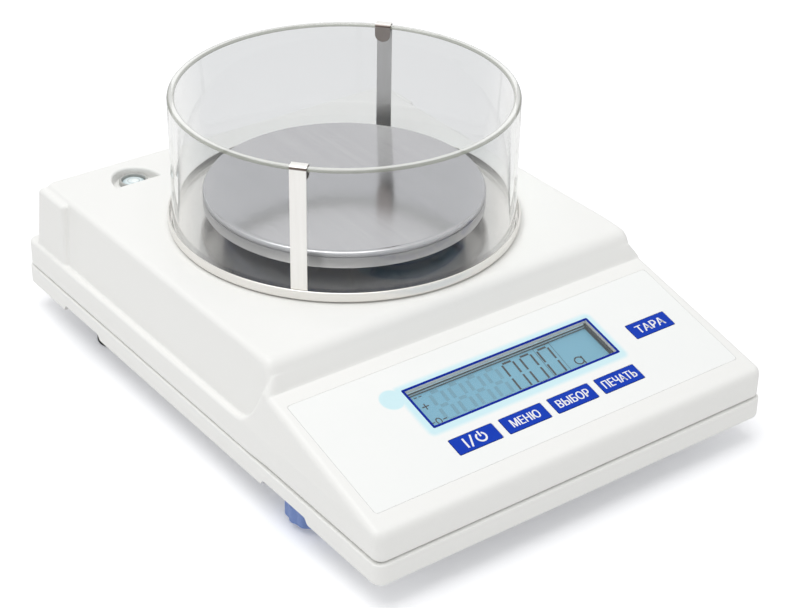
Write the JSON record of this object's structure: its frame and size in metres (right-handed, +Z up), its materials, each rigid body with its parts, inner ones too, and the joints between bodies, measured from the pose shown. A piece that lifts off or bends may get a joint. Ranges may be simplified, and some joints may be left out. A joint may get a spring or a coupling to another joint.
{
  "type": "laboratory scale",
  "caption": "Electronic laboratory scale with a round steel pan inside a glass draught shield, a sloping display and key panel, a level and adjustable feet.",
  "frame": {"origin": "on the floor under the middle of the casing's outline", "axes": "+Z up from the feet to the pan, +Y from the key panel to the rear, +X to the right of someone facing the keys"},
  "size_m": [0.193, 0.27, 0.1244],
  "materials": {
    "casing_plastic": "fine matt moulded",
    "film": "satin printed film",
    "key_blue": "printed satin",
    "clear_cover": "clear",
    "shield_glass": "clear polished",
    "lcd_glass": "reflective liquid crystal",
    "satin_steel": "satin brushed",
    "polished_steel": "polished",
    "aluminium": "milled",
    "brass": "turned",
    "rubber": "matt",
    "dark_plastic": "fine matt",
    "blue_plastic": "moulded",
    "board": "solder mask"
  },
  "bodies": {
    "casing": {"upper_housing": "casing_plastic", "base_tray": "casing_plastic", "keypad_film": "film", "display_window": "clear_cover", "lcd_panel": "lcd_glass", "lcd_frame": "dark_plastic", "display_board": "board", "level_vial": "clear_cover", "level_bezel": "dark_plastic", "weighing_cell": "aluminium", "cell_mount": "aluminium", "overload_stop": "satin_steel", "main_board": "board", "power_socket": "dark_plastic", "serial_socket": "aluminium", "switch_power": "dark_plastic", "switch_menu": "dark_plastic", "switch_select": "dark_plastic", "switch_print": "dark_plastic", "switch_tare": "dark_plastic", "foot_insert_left": "brass", "rear_foot_left": "rubber", "foot_insert_right": "brass", "rear_foot_right": "rubber", "casing_screw_1": "satin_steel", "casing_screw_2": "satin_steel", "casing_screw_3": "satin_steel", "casing_screw_4": "satin_steel"},
    "key_power": {"key_power": "key_blue"},
    "key_menu": {"key_menu": "key_blue"},
    "key_select": {"key_select": "key_blue"},
    "key_print": {"key_print": "key_blue"},
    "key_tare": {"key_tare": "key_blue"},
    "stage": {"cell_stem": "aluminium", "pan_carrier": "dark_plastic"},
    "pan": {"weighing_pan": "satin_steel"},
    "shield": {"shield_ring": "polished_steel", "shield_glass": "shield_glass", "shield_clip_front": "satin_steel", "shield_clip_rear": "satin_steel"},
    "foot_left": {"foot_pad_left": "rubber"},
    "wheel_left": {"foot_wheel_left": "blue_plastic"},
    "foot_right": {"foot_pad_right": "rubber"},
    "wheel_right": {"foot_wheel_right": "blue_plastic"}
  },
  "joints": [
    {"name": "power_press", "type": "slide", "parent": "casing", "child": "key_power", "axis": [0, 0.2471, -0.969], "range_m": [0, 0.0004], "stiffness_N_per_m": 5000},
    {"name": "menu_press", "type": "slide", "parent": "casing", "child": "key_menu", "axis": [0, 0.2471, -0.969], "range_m": [0, 0.0004], "stiffness_N_per_m": 5000},
    {"name": "select_press", "type": "slide", "parent": "casing", "child": "key_select", "axis": [0, 0.2471, -0.969], "range_m": [0, 0.0004], "stiffness_N_per_m": 5000},
    {"name": "print_press", "type": "slide", "parent": "casing", "child": "key_print", "axis": [0, 0.2471, -0.969], "range_m": [0, 0.0004], "stiffness_N_per_m": 5000},
    {"name": "tare_press", "type": "slide", "parent": "casing", "child": "key_tare", "axis": [0, 0.2471, -0.969], "range_m": [0, 0.0004], "stiffness_N_per_m": 5000},
    {"name": "stage_sink", "type": "slide", "parent": "casing", "child": "stage", "axis": [0, 0, 1], "range_m": [-0.00035, 0], "stiffness_N_per_m": 15000, "springref_m": 0.00015},
    {"name": "pan_lift", "type": "slide", "parent": "stage", "child": "pan", "axis": [0, 0, 1], "range_m": [0, 0.08]},
    {"name": "shield_lift", "type": "slide", "parent": "casing", "child": "shield", "axis": [0, 0, 1], "range_m": [0, 0.0026]},
    {"name": "left_foot_rise", "type": "slide", "parent": "casing", "child": "foot_left", "axis": [0, 0, 1], "range_m": [-0.006, 0]},
    {"name": "left_wheel_turn", "type": "hinge", "parent": "foot_left", "child": "wheel_left", "pos_m": [-0.081, -0.074, 0.007], "axis": [0, 0, 1], "range_deg": [-2160.5, 0]},
    {"name": "right_foot_rise", "type": "slide", "parent": "casing", "child": "foot_right", "axis": [0, 0, 1], "range_m": [-0.006, 0]},
    {"name": "right_wheel_turn", "type": "hinge", "parent": "foot_right", "child": "wheel_right", "pos_m": [0.081, -0.074, 0.007], "axis": [0, 0, 1], "range_deg": [-2160.5, 0]}
  ],
  "couplings": [
    {"joint": "left_wheel_turn", "follows": "left_foot_rise", "rad_per_m": 6283.2},
    {"joint": "right_wheel_turn", "follows": "right_foot_rise", "rad_per_m": 6283.2}
  ]
}
